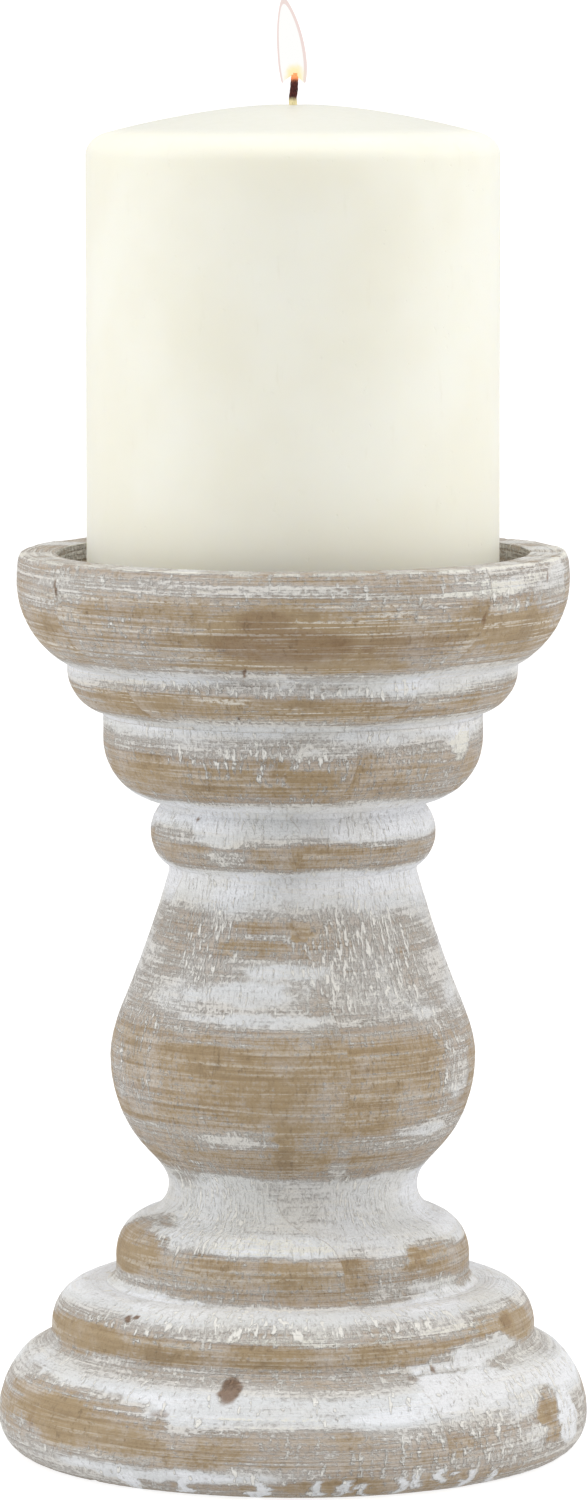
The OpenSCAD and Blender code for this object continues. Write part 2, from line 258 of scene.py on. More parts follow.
def lathe(name, points, seen, turns, closed, relief):
    """A watertight turned mesh. Adds the float attributes run, seen and those that relief returns.

    closed says that the outline is a loop, and not a line that starts and ends on the axis."""
    if closed and np.allclose(points[0], points[-1]):
        points, seen = points[:-1], seen[:-1]
    count = len(points)
    gaps = np.hypot(*np.diff(points, axis=0).T)
    run = np.concatenate([[0], np.cumsum(gaps)])
    tangent = np.gradient(points, axis=0)
    if closed:
        tangent[0] = tangent[-1] = points[1] - points[-1]
    tangent /= np.maximum(np.hypot(*tangent.T), 1e-9)[:, None]
    # Relief moves points along an averaged normal, so that the walls of a tight groove don't cross
    window = np.ones(AVERAGED) / AVERAGED
    tangent = np.stack([np.convolve(tangent[:, i], window, "same") for i in (0, 1)], 1)
    normal = np.stack([tangent[:, 1], -tangent[:, 0]], 1)
    normal /= np.maximum(np.hypot(*normal.T), 1e-9)[:, None]
    angle = np.arange(turns) * 360 / turns - 180
    grid_a, grid_run = np.meshgrid(angle, run)
    grid_r = np.repeat(points[:, 0:1], turns, 1)
    grid_z = np.repeat(points[:, 1:2], turns, 1)
    grid_seen = np.repeat(seen[:, None].astype(float), turns, 1)
    lift, layers = relief(grid_a, grid_run, grid_r, grid_z)
    layers = {"run": grid_run, "seen": grid_seen, **layers}
    lift = lift * grid_seen * (grid_r > 1e-6)
    grid_r = grid_r + lift * normal[:, 0:1]
    grid_z = grid_z + lift * normal[:, 1:2]
    turn = np.radians(grid_a)
    co = np.stack([grid_r * np.cos(turn), grid_r * np.sin(turn), grid_z], 2) * MM
    rows = np.arange(count if closed else count - 1)
    i, j = np.meshgrid(rows, np.arange(turns), indexing="ij")
    k, l = (i + 1) % count, (j + 1) % turns
    faces = np.stack([i * turns + j, i * turns + l, k * turns + l, k * turns + j], 2).reshape(-1, 4)
    mesh = bpy.data.meshes.new(name)
    mesh.from_pydata(co.reshape(-1, 3).tolist(), [], faces.tolist())
    for key, value in layers.items():
        mesh.attributes.new(key, "FLOAT", "POINT").data.foreach_set("value", value.astype(np.float32).ravel())
    work = bmesh.new()
    work.from_mesh(mesh)
    if not closed:
        poles = [v for v in work.verts if math.hypot(*v.co[:2]) < 1e-6]
        bmesh.ops.remove_doubles(work, verts=poles, dist=1e-6)
    work.to_mesh(mesh)
    work.free()
    return mesh


def finish_piece(mesh, name, body, material, replaces=()):
    """Makes an object of the mesh, smooth except at corners, and puts it on its body."""
    mesh.name = name
    mesh.polygons.foreach_set("use_smooth", [True] * len(mesh.polygons))
    mesh.set_sharp_from_angle(angle=CORNER)
    piece = bpy.data.objects.new(name, mesh)
    bpy.context.scene.collection.objects.link(piece)
    mesh.materials.clear()
    mesh.materials.append(material)
    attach(piece, body)
    if replaces:
        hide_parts(*replaces)
    return piece


def sawn(mesh, turn, low, high, name):
    """Saws the slice between two planes out of a turned mesh, and closes its sawn faces.

    The planes face the direction turn, and low and high are their distances from the axis in mm.
    None is no plane."""
    n = (math.cos(math.radians(turn)), math.sin(math.radians(turn)), 0)
    work = bmesh.new()
    work.from_mesh(mesh)
    for at, side in ((low, -1), (high, 1)):
        if at is None:
            continue
        cut = bmesh.ops.bisect_plane(
            work, geom=work.verts[:] + work.edges[:] + work.faces[:], dist=1e-7,
            plane_co=[at * MM * c for c in n], plane_no=[side * c for c in n],
            clear_outer=True)
        rim = [e for e in cut["geom_cut"] if isinstance(e, bmesh.types.BMEdge)]
        filled = bmesh.ops.holes_fill(work, edges=rim, sides=0)
        bmesh.ops.triangulate(work, faces=filled["faces"], ngon_method="EAR_CLIP")
    bmesh.ops.recalc_face_normals(work, faces=work.faces[:])
    out = bpy.data.meshes.new(name)
    work.to_mesh(out)
    work.free()
    return out


# ---------------------------------------------------------------- where the paint has worn

RIM_HIGHLIGHT_R = 45.7  # the painted highlight on the rim's edge reaches no further in than this, in mm


def worn(stops, sides, wobble_mm, seed, spots, stains_and_shade, creams_and_highlight, combs):
    """A relief function for lathe(), which also returns the layers of paint, of stains and painted shade, of
    cream paint and painted highlight, and of bristle marks.

    The relief is brush marks, dents and the paint's own thickness, in mm. sides is painted side light: how
    much the paint level is raised on the left and right of the view over the front, to make those sides
    lighter."""
    heights, levels = zip(*stops)

    def relief(angle, run, radius, height):
        shift = wobble_mm * cloud(angle, run, 24, 30, seed, 2)
        paint = np.interp(height + shift, heights, levels)
        paint = paint + 0.18 * cloud(angle, run, 20, 9, seed + 1, 3)
        # painted side light: more paint toward the left and right of the view, so those sides show lighter
        paint = paint + sides * (np.abs(np.cos(np.radians(angle))) - 0.4)
        stain_and_shade = np.zeros_like(paint)
        cream_and_highlight = np.zeros_like(paint)
        comb = np.zeros_like(paint)

        # Spots with ragged edges: rough is fine and torn is coarse
        rough = cloud(angle, run, 3.0, 1.4, seed + 2, 3)
        torn = cloud(angle, run, 13, 3.6, seed + 8, 3)
        for at, z, half_deg, half_mm, amount in spots:
            askew = angle + 3 * rough + 0.5 * half_deg * torn
            level = height + 0.6 * rough + 0.3 * half_mm * torn
            paint = paint + amount * near(askew, level, at, z, half_deg, half_mm)
        for at, z, half_deg, half_mm, amount in stains_and_shade:
            here = near(angle + rough, height + 0.25 * rough, at, z, half_deg, half_mm)
            stain_and_shade = np.maximum(stain_and_shade, amount * here)
        for at, z, half_deg, half_mm, amount in creams_and_highlight:
            here = near(angle + 3 * rough, height + 0.4 * half_mm * rough, at, z, half_deg, half_mm)
            cream_and_highlight = np.maximum(cream_and_highlight, amount * here)
            paint = paint + 0.4 * amount * here
        for at, z, half_deg, half_mm, amount in combs:
            here = near(angle + 6 * torn, height + 2 * torn, at, z, half_deg, half_mm)
            comb = np.maximum(comb, amount * here)
        # the rim's painted highlight stays on its outer edge
        cream_and_highlight = cream_and_highlight * ~((height > RIM_Z - 0.05) & (radius < RIM_HIGHLIGHT_R))

        # Slow waves, brush marks round the turning, grit, dents, and what lies on or in the wood
        lift = 0.10 * cloud(angle, run, 40, 18, seed + 3, 2)
        lift = lift + 0.035 * cloud(angle, run, 14, 0.9, seed + 4, 2)
        lift = lift + 0.03 * cloud(angle, run, 1.6, 1.5, seed + 5, 2)
        dent = lattice(angle, run, 4.5, 3.2, seed + 6)
        lift = lift - 0.22 * np.clip(dent - 0.9, 0, 0.1) * 10
        lift = lift + 0.07 * np.clip(paint, 0, 1) + 0.12 * cream_and_highlight - 0.10 * stain_and_shade
        paint = np.clip(paint, -0.3, 1.3)
        return lift, {"paint": paint, "stain_and_shade": stain_and_shade, "cream_and_highlight": cream_and_highlight, "comb": comb}
    return relief


# (height in mm, share of paint): bare on the rolls, full in the grooves; levels near and over 1 also make the
# white bluer and brighter, a painted highlight in the grooves
BASE_STOPS = [(0, .55), (3.6, .74), (5, .66), (6.4, .60), (10.2, .60), (11.6, .92), (13, 1.06),
              (15.8, 1.15), (17, .92), (18.4, .72), (20, .66), (20.8, .16), (23.5, .10), (24.6, .5),
              (26, .72), (27.4, 1.0), (28.6, 1.2)]
STEM_STOPS = [(28.6, .95), (29.3, .5), (31.4, .5), (32.4, .18), (35.8, .18), (37, .8), (39, 1.08),
              (44, 1.1), (49, 1.1), (50, .62), (53.6, .26), (54.8, .48), (57.6, .52), (59, .14),
              (72.3, .14), (74.4, .5), (77, .78), (86, .84), (89, .7), (93, .72), (95, .94), (97.6, 1.15),
              (101, 1.2), (102.2, .36), (105.4, .2), (106.6, .85), (108.6, 1.2), (112.6, 1.3), (114, .55),
              (116, .26), (119.6, .24), (121.4, .48), (124, .76), (126, 1.15)]
CUP_STOPS = [(126, 1.2), (127.2, 1.0), (128.6, .2), (131.4, .2), (132.8, .62), (135, 1.12), (136.4, .85),
             (137.3, .34), (140, .12), (144, .06), (147, .24), (150, .52), (152.4, .56), (153.2, .56),
             (154, .38)]

# (angle in degrees, height in mm, half width in degrees, half height in mm, change of paint)
BASE_SPOTS = [(-136, 10.5, 20, 4.4, -.75), (-112, 7.5, 10, 2.4, -.3), (-58, 12, 22, 3, .35),
              (-34, 9, 10, 4, .3), (-22, 8, 5, 4, .8), (-29, 9.5, 4, 4.5, -.8), (-55, 10.6, 28, 2.2, -.3),
              (-120, 3.4, 24, 1.2, .35), (-70, 2.4, 34, 1.6, -.4), (-50, 19.3, 13, 2.4, .55),
              (-52, 18.8, 10, .5, -.4), (-152, 22.4, 16, 2.8, -.5), (-38, 21.6, 13, 1.8, .75),
              (-32, 25, 14, 1.4, -.35), (-38, 13, 16, 1.6, -.2), (-44, 17, 18, 1.2, .25),
              (-168, 12, 14, 5, -.4), (-150, 13, 13, 2.6, -.6), (-20, 24, 9, 3, -.5),
              (-100, 4, 16, 1.6, .25), (18, 10, 22, 4, -.5), (62, 13, 16, 3, -.4), (95, 8, 20, 3, .35),
              (140, 11, 22, 4, -.55), (70, 21, 18, 3, .4), (120, 26, 12, 1.6, -.5)]
STEM_SPOTS = [(-150, 66, 18, 8, .16), (-28, 61.5, 14, 4, .25), (-30, 85, 16, 6, -.2), (-95, 84, 20, 3, .15),
              (-150, 107.5, 20, 1.5, -.4), (-150, 29, 24, 1, .5), (-30, 29, 24, 1, .5),
              (-35, 37.2, 14, 1.2, -.5), (-90, 37.5, 24, 1, .25), (-36, 31, 18, 1.4, .35),
              (-160, 36.5, 17, 4, -.8), (-55, 34.6, 13, 3, .28), (-45, 36.2, 5, 1.6, -.6),
              (-152, 44, 14, 5, -.15), (-72, 52, 4, 3, .36), (-93, 56.4, 2.2, 2.6, -.7),
              (-150, 50, 16, 3, -.3), (-163, 66, 8, 5, .18), (-26, 68, 10, 6, .45),
              (-112, 56.4, 12, 1.4, .35), (-40, 57.6, 12, 1.4, .4), (-150, 62, 12, 3, .25),
              (-100, 77, 24, 1.3, .35), (-106, 81, 20, 2.2, .3), (-92, 85, 16, 1.2, .25),
              (-108, 89, 16, 1.4, -.4), (-100, 92.6, 14, 1.0, -.45), (-60, 86, 16, 9, .08),
              (-38, 79, 9, 3, .15), (-150, 89, 16, 8, -.2), (-156, 76, 14, 4, -.2),
              (-87, 91, 4.6, 1.0, -1.3), (-118, 104.4, 9, 2.2, .4), (-62, 107.5, 12, 1, .3),
              (-98.5, 118.6, 3, 2.2, .45), (-93.6, 117.6, 2, 1.4, .4), (-84, 121.5, 10, 1.8, .35),
              (-116, 122, 22, 2, .2), (-70, 124, 20, 1.6, .25), (-140, 118, 20, 3.6, -.2),
              (20, 66, 16, 5, .4), (75, 62, 14, 4, .45), (130, 70, 18, 5, .4), (50, 86, 20, 6, -.3),
              (110, 90, 18, 5, .3), (40, 35, 14, 3, .4), (90, 118, 14, 3, .4), (150, 104, 14, 2, .4)]
CUP_SPOTS = [(-88, 137.8, 22, 1.4, -.4), (-128, 142, 22, 4.5, .28), (-150, 148, 10, 3.5, .3),
             (-95, 145, 10, 3, -.3), (-78, 143, 22, 3, -.2), (-36, 143.5, 14, 2.6, -.3),
             (-116, 151, 30, 1.0, .2), (-60, 132.5, 20, 1.6, .3), (-94, 133, 18, 1, .3),
             (-20, 149, 8, 4, .3), (-138, 131, 16, 2.4, -.3), (20, 146, 20, 4, .3), (80, 142, 22, 3, -.3),
             (120, 148, 16, 3, .45), (160, 144, 14, 4, -.2), (60, 131, 16, 2, .35)]

# Chips at the foot's lower edge, as (angle, height), and pieces of a painted highlight along the rim's edge,
# as (angle, half width)
FOOT_CHIPS = [(-97, 1.5), (-86, 1.9), (-80.5, 2.2), (-76.5, 1.7), (-69, 2.2), (-65.5, 2.6), (-60, 3.0),
              (-54, 2.0), (-47, 1.6), (-112, 1.6), (-124, 1.4), (10, 2), (31, 1.6), (74, 2.2), (101, 1.8),
              (133, 2.3), (166, 1.7)]
RIM_HIGHLIGHTS = [(-173, 6), (-161, 4), (-150, 6), (-138, 4), (-127, 7), (-113, 6), (-101, 5), (-91, 4),
             (-80, 7), (-66, 5), (-55, 4), (-44, 6), (-33, 5), (-21, 6), (-8, 5), (9, 6), (27, 5), (48, 8),
             (70, 5), (93, 7), (118, 6), (139, 5), (157, 6)]
BASE_SPOTS += [(at, z, 1.5, 1.5, 1.0) for at, z in FOOT_CHIPS]

# The same five values, for the strength of knots and dark marks; on the cup, the wide marks at the front of
# the bowl's underside also hold painted shade
BASE_STAINS = [(-103.5, 17.5, 2.5, 1.9, .95), (-135, 26.6, 1.2, .6, 1), (-117, 13.4, 2.2, .7, .55),
               (-133, 27, .7, .4, 1), (-56, 19.4, .8, .8, .8), (-62, 18.4, 1.6, .4, .6),
               (-30, 11, 1.2, 2.6, .35), (-27, 24.6, 3, 1.2, .5), (-152, 9, 1.5, 2.5, .4),
               (40, 18, 2.4, 1.5, .8), (118, 9, 2, 1.2, .7)]
STEM_STAINS = [(-100, 52.5, 12, 1.0, .25), (-134, 109.8, 1.2, .4, .9), (-45, 35.6, 1.6, 1.4, .4),
               (-87, 91, 4, .8, .3), (60, 50, 3, 1, .6), (-60, 116.5, 4, 2, .3), (-170, 36, 6, 2, .3)]
# painted shade: the wide marks at (-96, 145.3), (-92, 141.6) and (-64, 141.4) deepen the downward-facing bowl
# as its shade
CUP_STAINS_AND_SHADE = [(-96, 145.3, 6, 2.8, .5), (-92, 141.6, 18, 3.2, .55), (-64, 141.4, 15, 2.8, .42),
              (-81, 142.2, 2.0, 1.0, .65), (-74, 141, 1.5, .8, .6), (-147.4, 149.4, .5, 1.9, .9),
              (-101.5, 136.6, .45, .9, .9), (-47, 145.2, .7, 1.3, .8), (-25, 151, .6, 1.2, .7),
              (-104, 128.6, .4, .4, .9), (36, 143, 3, 1.6, .5), (100, 146, 4, 1.8, .5)]

# The same, for thick cream paint; along the rim's edge the cream is a painted highlight
BASE_CREAMS = [(-98, 12.9, 18, 1.3, .35), (-86, 24.9, 30, .9, .45), (-50, 25.4, 14, .8, .35),
               (60, 12.4, 20, 1.6, .4)]
STEM_CREAMS = [(-29, 122.4, 5.5, 2.6, .9), (-97, 38.6, 26, 1.6, .5), (70, 121, 6, 2, .7)]
# painted highlight: a broken cream line along the rim's outer edge
CUP_CREAMS_AND_HIGHLIGHT = [(at, RIM_Z - 0.15, half, 0.3, .8) for at, half in RIM_HIGHLIGHTS]
CUP_CREAMS_AND_HIGHLIGHT += [(-47, 150, 11, 1.7, .62), (-40, 147, 4.5, 1.2, .6), (-33, 151, 8, 1.4, .45),
               (96, 150, 9, 1.6, .7)]

# The same, for upright bristle marks
BASE_COMBS = [(-100, 27, 32, 1.8, 1), (-60, 26.6, 20, 1.6, .8), (-45, 9, 22, 5, .6), (-30, 14, 14, 6, .6),
              (-135, 25.5, 14, 3, .6), (-75, 4, 40, 2.4, .5), (40, 12, 40, 6, .7), (130, 24, 40, 4, .7)]
STEM_COMBS = [(-60, 87, 30, 9, 1), (-126, 90, 14, 8, .8), (-150, 70, 14, 8, .8), (-128, 43, 24, 7, .9),
              (-95, 118.5, 44, 4, .9), (-140, 49, 18, 4, .8), (-35, 69, 12, 8, .7), (-60, 45, 22, 4, .5),
              (60, 86, 40, 9, .8), (150, 68, 40, 8, .6), (100, 42, 40, 6, .7), (120, 119, 40, 4, .7)]
CUP_COMBS = [(-95, 133, 34, 1.8, .7), (-140, 143, 26, 4, .5), (-40, 146, 16, 4, .6), (70, 144, 50, 5, .4)]


# ---------------------------------------------------------------- materials

def srgb(r, g, b):
    """A screen colour, 0 to 255, as Blender's linear RGBA."""
    def linear(c):
        c = c / 255
        return c / 12.92 if c <= 0.04045 else ((c + 0.055) / 1.055) ** 2.4
    return (linear(r), linear(g), linear(b), 1)


class Nodes:
    """Short calls for building one material's node tree."""

    def __init__(self, name):
        self.material = bpy.data.materials.new(name)
        self.material.use_nodes = True
        self.tree = self.material.node_tree
        self.bsdf = self.tree.nodes["Principled BSDF"]

    def put(self, socket, value):
        if isinstance(value, bpy.types.NodeSocket):
            self.tree.links.new(value, socket)
        else:
            socket.default_value = value

    def add(self, kind, **settings):
        node = self.tree.nodes.new(kind)
        for key, value in settings.items():
            setattr(node, key, value)
        return node

    def math(self, operation, *values):
        node = self.add("ShaderNodeMath", operation=operation)
        for i, value in enumerate(values):
            self.put(node.inputs[i], value)
        return node.outputs[0]

    def vector(self, operation, *values):
        node = self.add("ShaderNodeVectorMath", operation=operation)
        for i, value in enumerate(values):
            if operation == "SCALE" and i == 1:
                self.put(node.inputs["Scale"], value)
            else:
                self.put(node.inputs[i], value)
        return node.outputs["Value" if operation in ("DOT_PRODUCT", "DISTANCE") else "Vector"]

    def attribute(self, name):
        return self.add("ShaderNodeAttribute", attribute_name=name).outputs["Fac"]

    def place(self):
        """The point in the row frame, in millimetres."""
        return self.vector("SCALE", self.add("ShaderNodeTexCoord").outputs["Object"], 1 / MM)

    def noise(self, at, detail=2.0, rough=0.5, scale=1.0):
        node = self.add("ShaderNodeTexNoise", noise_dimensions="3D")
        self.put(node.inputs["Vector"], at)
        node.inputs["Scale"].default_value = scale
        node.inputs["Detail"].default_value = detail
        node.inputs["Roughness"].default_value = rough
        return node.outputs["Fac"]

    def ring(self, turn, along, seed):
        """A point that goes round a ring with the angle and along it with the outline, free of seams."""
        xyz = self.add("ShaderNodeSeparateXYZ")
        self.put(xyz.inputs[0], self.place())
        flat = self.add("ShaderNodeCombineXYZ")
        self.put(flat.inputs[0], xyz.outputs[0])
        self.put(flat.inputs[1], xyz.outputs[1])
        around = self.vector("SCALE", self.vector("NORMALIZE", flat.outputs[0]), turn)
        up = self.add("ShaderNodeCombineXYZ")
        self.put(up.inputs[2], self.math("MULTIPLY", self.attribute("run"), along))
        moved = self.vector("ADD", around, up.outputs[0])
        return self.vector("ADD", moved, (seed * 3.7, seed * 1.9, seed * 5.3))

    def ramp(self, value, low, high, to_low=0.0, to_high=1.0):
        """A smooth step from to_low at low to to_high at high."""
        node = self.add("ShaderNodeMapRange", interpolation_type="SMOOTHSTEP")
        node.clamp = True
        self.put(node.inputs["Value"], value)
        for key, number in (("From Min", low), ("From Max", high), ("To Min", to_low), ("To Max", to_high)):
            self.put(node.inputs[key], number)
        return node.outputs["Result"]

    def mix(self, share, a, b):
        node = self.add("ShaderNodeMix", data_type="RGBA")
        self.put(node.inputs["Factor"], share)
        self.put(node.inputs[6], a)
        self.put(node.inputs[7], b)
        return node.outputs[2]

    def total(self, base, *terms):
        """base plus each (noise, amount), the noise centred on 0."""
        for value, amount in terms:
            base = self.math("ADD", base, self.math("MULTIPLY", self.math("SUBTRACT", value, 0.5), amount))
        return base

    def bump(self, height, distance, strength=1.0):
        """A bent normal. distance is the height's depth in metres."""
        node = self.add("ShaderNodeBump")
        node.inputs["Distance"].default_value = distance
        node.inputs["Strength"].default_value = strength
        self.put(node.inputs["Height"], height)
        return node.outputs["Normal"]

    def done(self, color, roughness, normal=None, **constants):
        self.put(self.bsdf.inputs["Base Color"], color)
        self.put(self.bsdf.inputs["Roughness"], roughness)
        if normal is not None:
            self.put(self.bsdf.inputs["Normal"], normal)
        for key, value in constants.items():
            self.bsdf.inputs[key.replace("_", " ")].default_value = value
        return self.material


def whitewashed(name, seed, joints, lines, warm=0.0):
    """Brushed whitewash over pale brown wood.

    joints is (direction of the glue lines, distance from the axis), and lines is (how many hairlines
    of paint there are to a millimetre, how strong they are)."""
    density, strength = lines
    n = Nodes(name)
    paint = n.attribute("paint")
    stain_and_shade = n.attribute("stain_and_shade")
    cream_and_highlight = n.attribute("cream_and_highlight")
    comb = n.attribute("comb")
    seen = n.attribute("seen")
    streak = n.noise(n.ring(1.5, 1.1, seed), 4, 0.66)
    hair = n.noise(n.ring(0.8, 2.4, seed + 1), 2, 0.6)
    fleck = n.noise(n.ring(46, 0.42, seed + 2), 2, 0.6)
    speck = n.noise(n.ring(44, 1.5, seed + 3), 3, 0.7)
    patch = n.noise(n.ring(4.4, 0.14, seed + 4), 4, 0.6)
    slow = n.noise(n.ring(2.0, 0.05, seed + 5), 2, 0.5)
    grain = n.noise(n.ring(62, 2.0, seed + 8), 2, 0.6)
    full = n.ramp(paint, 0.55, 1.0)

    # Bare wood: turning streaks, slow changes of tone, short dark pores
    wood = n.mix(n.ramp(streak, 0.28, 0.72), srgb(157, 135, 103), srgb(179, 158, 126))
    wood = n.mix(n.ramp(slow, 0.38, 0.66, 0, 0.45), wood, srgb(171, 147, 110))
    wood = n.mix(n.ramp(patch, 0.48, 0.68, 0, 0.55), wood, srgb(186, 171, 152))
    wood = n.mix(n.ramp(hair, 0.42, 0.34, 0, 0.3), wood, srgb(134, 112, 84))
    wood = n.mix(n.ramp(patch, 0.44, 0.32, 0, 0.5), wood, srgb(142, 121, 92))
    wood = n.mix(n.ramp(speck, 0.44, 0.34, 0, 0.3), wood, srgb(128, 107, 82))
    pores = n.ramp(n.noise(n.ring(34, 0.40, seed + 6), 2, 0.7), 0.60, 0.72, 0, 0.35)
    wood = n.mix(pores, wood, srgb(108, 88, 64))

    # Thin, rubbed wash under the opaque paint
    haze_level = n.total(paint, (streak, 1.2), (hair, 1.3 * strength), (speck, 0.6), (grain, 0.7),
                         (patch, 1.2), (fleck, 0.5))
    haze = n.ramp(haze_level, -0.05, 0.70, 0.04, 0.92)
    haze_tone = n.mix(n.ramp(hair, 0.36, 0.64), srgb(178, 164, 152), srgb(212, 205, 197))
    haze_tone = n.mix(n.math("MULTIPLY", full, 0.8), haze_tone, srgb(212, 210, 208))
    color = n.mix(haze, wood, haze_tone)

    # Opaque paint, broken into streaks, flecks and specks
    rough = n.total(0.0, (streak, n.ramp(comb, 0, 1, 2.2, 0.8)),
                    (hair, n.ramp(comb, 0, 1, 0.6 + 1.2 * strength, 0.4)),
                    (fleck, n.ramp(comb, 0, 1, 0.7, 3.0)), (speck, 1.3), (grain, 1.1), (patch, 0.8))
    level = n.math("ADD", paint, n.math("MULTIPLY", rough, n.ramp(paint, 0.65, 1.1, 1.0, 0.35)))
    solid = n.ramp(level, 0.50, 0.98)
    # painted highlight: where paint runs over 0.8 the white turns bluer, and over 1.1 brighter still, to
    # light the grooves against their shade
    white = n.mix(n.ramp(paint, 0.8, 1.1), srgb(226, 223, 218), srgb(226, 228, 230))
    white = n.mix(n.ramp(paint, 1.1, 1.25), white, srgb(240, 242, 246))
    white = n.mix(n.ramp(slow, 0.4, 0.7, 0, 0.4), white, srgb(226, 224, 216))
    white = n.mix(n.ramp(speck, 0.46, 0.32, 0, 0.4), white, srgb(190, 184, 180))
    color = n.mix(solid, color, white)
    # Thick cream paint, which on the rim's edge is a painted highlight
    creamy = n.total(cream_and_highlight, (speck, 1.4), (fleck, 0.8), (streak, 1.6), (hair, 1.0))
    creamy = n.ramp(creamy, 0.42, 0.72, 0, 0.88)
    color = n.mix(creamy, color, srgb(236, 234, 224))

    # Bristles left standing in the paint, with a painted highlight on their tips, and hairlines that run
    # round the turning
    sharp = n.total(fleck, (comb, 0.09), (grain, 0.12))
    bristle_highlight = n.math("MULTIPLY", n.ramp(sharp, 0.57, 0.62), n.ramp(haze_level, 0.30, 0.6, 0, 0.85))
    # painted highlight: bristle tips lightened as if light caught them
    color = n.mix(bristle_highlight, color, srgb(244, 242, 236))
    thread = n.math("ABSOLUTE", n.math("SUBTRACT", n.noise(n.ring(0.55, density, seed + 7), 1, 0.5), 0.5))
    thread = n.math("MULTIPLY", n.ramp(thread, 0.012, 0.045, 1, 0), n.ramp(speck, 0.38, 0.52))
    thread = n.math("MULTIPLY", thread, n.ramp(streak, 0.42, 0.56, 0, strength))
    color = n.mix(thread, color, srgb(230, 225, 215))

    # Knots and dark marks, with painted shade under the bowl's front, then the glue lines
    knots_and_shade = n.ramp(n.total(stain_and_shade, (speck, 0.7), (streak, 0.4)), 0.1, 1.0, 0, 0.85)
    color = n.mix(knots_and_shade, color, srgb(122, 90, 60))
    turn, distance = joints
    facing = (math.cos(math.radians(turn)), math.sin(math.radians(turn)), 0)
    off = n.math("SUBTRACT", n.math("ABSOLUTE", n.vector("DOT_PRODUCT", n.place(), facing)), distance)
    gap = n.ramp(n.math("ABSOLUTE", off), 0.04, 0.22, 1, 0)
    gap = n.math("MULTIPLY", gap, n.ramp(patch, 0.45, 0.65, 0.0, 0.4))
    color = n.mix(gap, color, srgb(134, 112, 88))
    bare = n.mix(n.ramp(streak, 0.3, 0.7), srgb(166, 140, 104), srgb(192, 167, 131))
    color = n.mix(n.ramp(seen, 0.45, 0.55), bare, color)
    if warm:
        color = n.mix(warm, color, srgb(180, 150, 112))

    height = n.total(n.math("MULTIPLY", solid, 0.7), (streak, 1.0), (fleck, 1.0), (speck, 0.9), (hair, 0.4))
    height = n.math("SUBTRACT", height, n.math("MULTIPLY", pores, 0.8))
    height = n.math("ADD", height, n.math("MULTIPLY", bristle_highlight, 0.8))
    normal = n.bump(height, 0.00034, 1.0)
    return n.done(color, n.ramp(solid, 0, 1, 0.55, 0.72), normal, Specular_IOR_Level=0.28)


def steel(name, tone, brushed):
    """Plated or tinned steel with fine turning marks and dull spots."""
    n = Nodes(name)
    at = n.place()
    spots = n.noise(at, 4, 0.6, 0.9)
    marks = n.noise(n.vector("MULTIPLY", at, (0.6, 0.6, brushed)), 3, 0.6)
    color = n.mix(n.ramp(spots, 0.35, 0.7), srgb(*tone), srgb(*[c * 0.8 for c in tone]))
    rough = n.ramp(n.math("ADD", spots, marks), 0.6, 1.4, 0.24, 0.46)
    return n.done(color, rough, n.bump(marks, 0.00005, 0.6), Metallic=1.0)


def wax(name):
    """Ivory wax: satin, slightly see-through, with faint scuffs and pits, and greyer on its crown."""
    n = Nodes(name)
    at = n.place()
    slow = n.noise(at, 3, 0.5, 0.035)
    scuff = n.noise(n.vector("MULTIPLY", at, (0.5, 0.5, 0.12)), 5, 0.65)
    pits = n.ramp(n.noise(at, 2, 0.5, 0.9), 0.70, 0.76)
    color = n.mix(n.ramp(slow, 0.35, 0.65), srgb(247, 246, 234), srgb(243, 241, 226))
    color = n.mix(n.ramp(scuff, 0.6, 0.75, 0, 0.25), color, srgb(232, 229, 212))
    xyz = n.add("ShaderNodeSeparateXYZ")
    n.put(xyz.inputs[0], at)
    color = n.mix(n.ramp(xyz.outputs[2], WAX_TOP - 4.9, WAX_TOP - 3.4, 0, 0.8), color, srgb(222, 222, 212))
    height = n.math("SUBTRACT", n.math("MULTIPLY", slow, 2.0), n.math("MULTIPLY", pits, 0.3))
    height = n.math("ADD", height, n.math("MULTIPLY", scuff, 0.12))
    rough = n.ramp(scuff, 0.35, 0.7, 0.34, 0.46)
    return n.done(color, rough, n.bump(height, 0.0003, 0.5),
                  Subsurface_Weight=0.35, Subsurface_Radius=(0.006, 0.0055, 0.0042), Subsurface_Scale=1.0,
                  Specular_IOR_Level=0.2)


def felt(name):
    """Brown felt: matted fibres in two directions over soft blotches."""
    n = Nodes(name)
    at = n.place()
    fibre = n.noise(n.vector("MULTIPLY", at, (5.5, 0.9, 1)), 4, 0.7)
    cross = n.noise(n.vector("MULTIPLY", at, (0.9, 5.5, 1)), 4, 0.7)
    blotch = n.noise(at, 3, 0.5, 0.12)
    mat = n.math("MAXIMUM", fibre, cross)
    color = n.mix(n.ramp(mat, 0.45, 0.72), srgb(78, 62, 48), srgb(124, 102, 82))
    color = n.mix(n.ramp(blotch, 0.4, 0.65, 0, 0.4), color, srgb(92, 76, 60))
    return n.done(color, 0.95, n.bump(mat, 0.0004, 1.0), Sheen_Weight=0.35, Sheen_Roughness=0.5)


